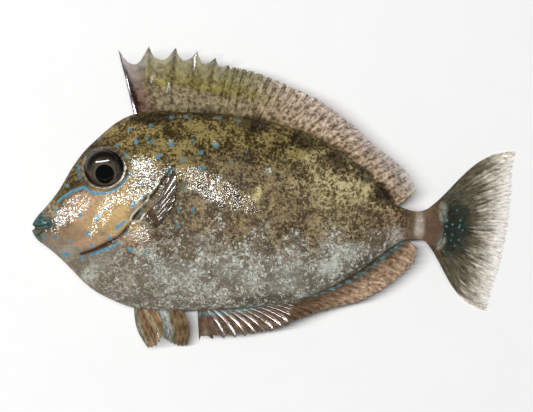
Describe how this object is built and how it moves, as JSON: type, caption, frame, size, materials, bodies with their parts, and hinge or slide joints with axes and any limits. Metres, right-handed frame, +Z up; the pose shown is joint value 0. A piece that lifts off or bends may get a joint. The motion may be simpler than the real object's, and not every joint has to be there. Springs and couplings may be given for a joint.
{
  "type": "bignose unicornfish",
  "caption": "Young bignose unicornfish as a still, life-size model lying flat on its right side, fins spread, head towards -X.",
  "frame": {"origin": "on the floor, below the middle of the fish's overall length and of its height from pelvic fins to dorsal spines", "axes": "-X points from the tail to the snout, +Y from the belly to the back, +Z up, away from the floor, which is the fish's left side"},
  "size_m": [0.0828, 0.0516, 0.0122],
  "materials": {
    "skin": "wet scaled fish skin, mottled olive brown",
    "eye": "clear, glossy",
    "dorsal_fin": "thin wet membrane, olive",
    "anal_fin": "thin wet membrane, red brown",
    "caudal_fin": "thin wet membrane, clear towards its rim",
    "paired_fins": "thin wet membrane, brown"
  },
  "bodies": {
    "root": {"head": "skin", "trunk": "skin", "tail_stalk": "skin", "eye_left": "eye", "eye_right": "eye", "dorsal_fin_spiny": "dorsal_fin", "dorsal_fin_soft": "dorsal_fin", "anal_fin": "anal_fin", "caudal_fin": "caudal_fin", "pectoral_fin_left": "paired_fins", "pectoral_fin_right": "paired_fins", "pelvic_fin_left": "paired_fins", "pelvic_fin_right": "paired_fins"}
  },
  "joints": []
}
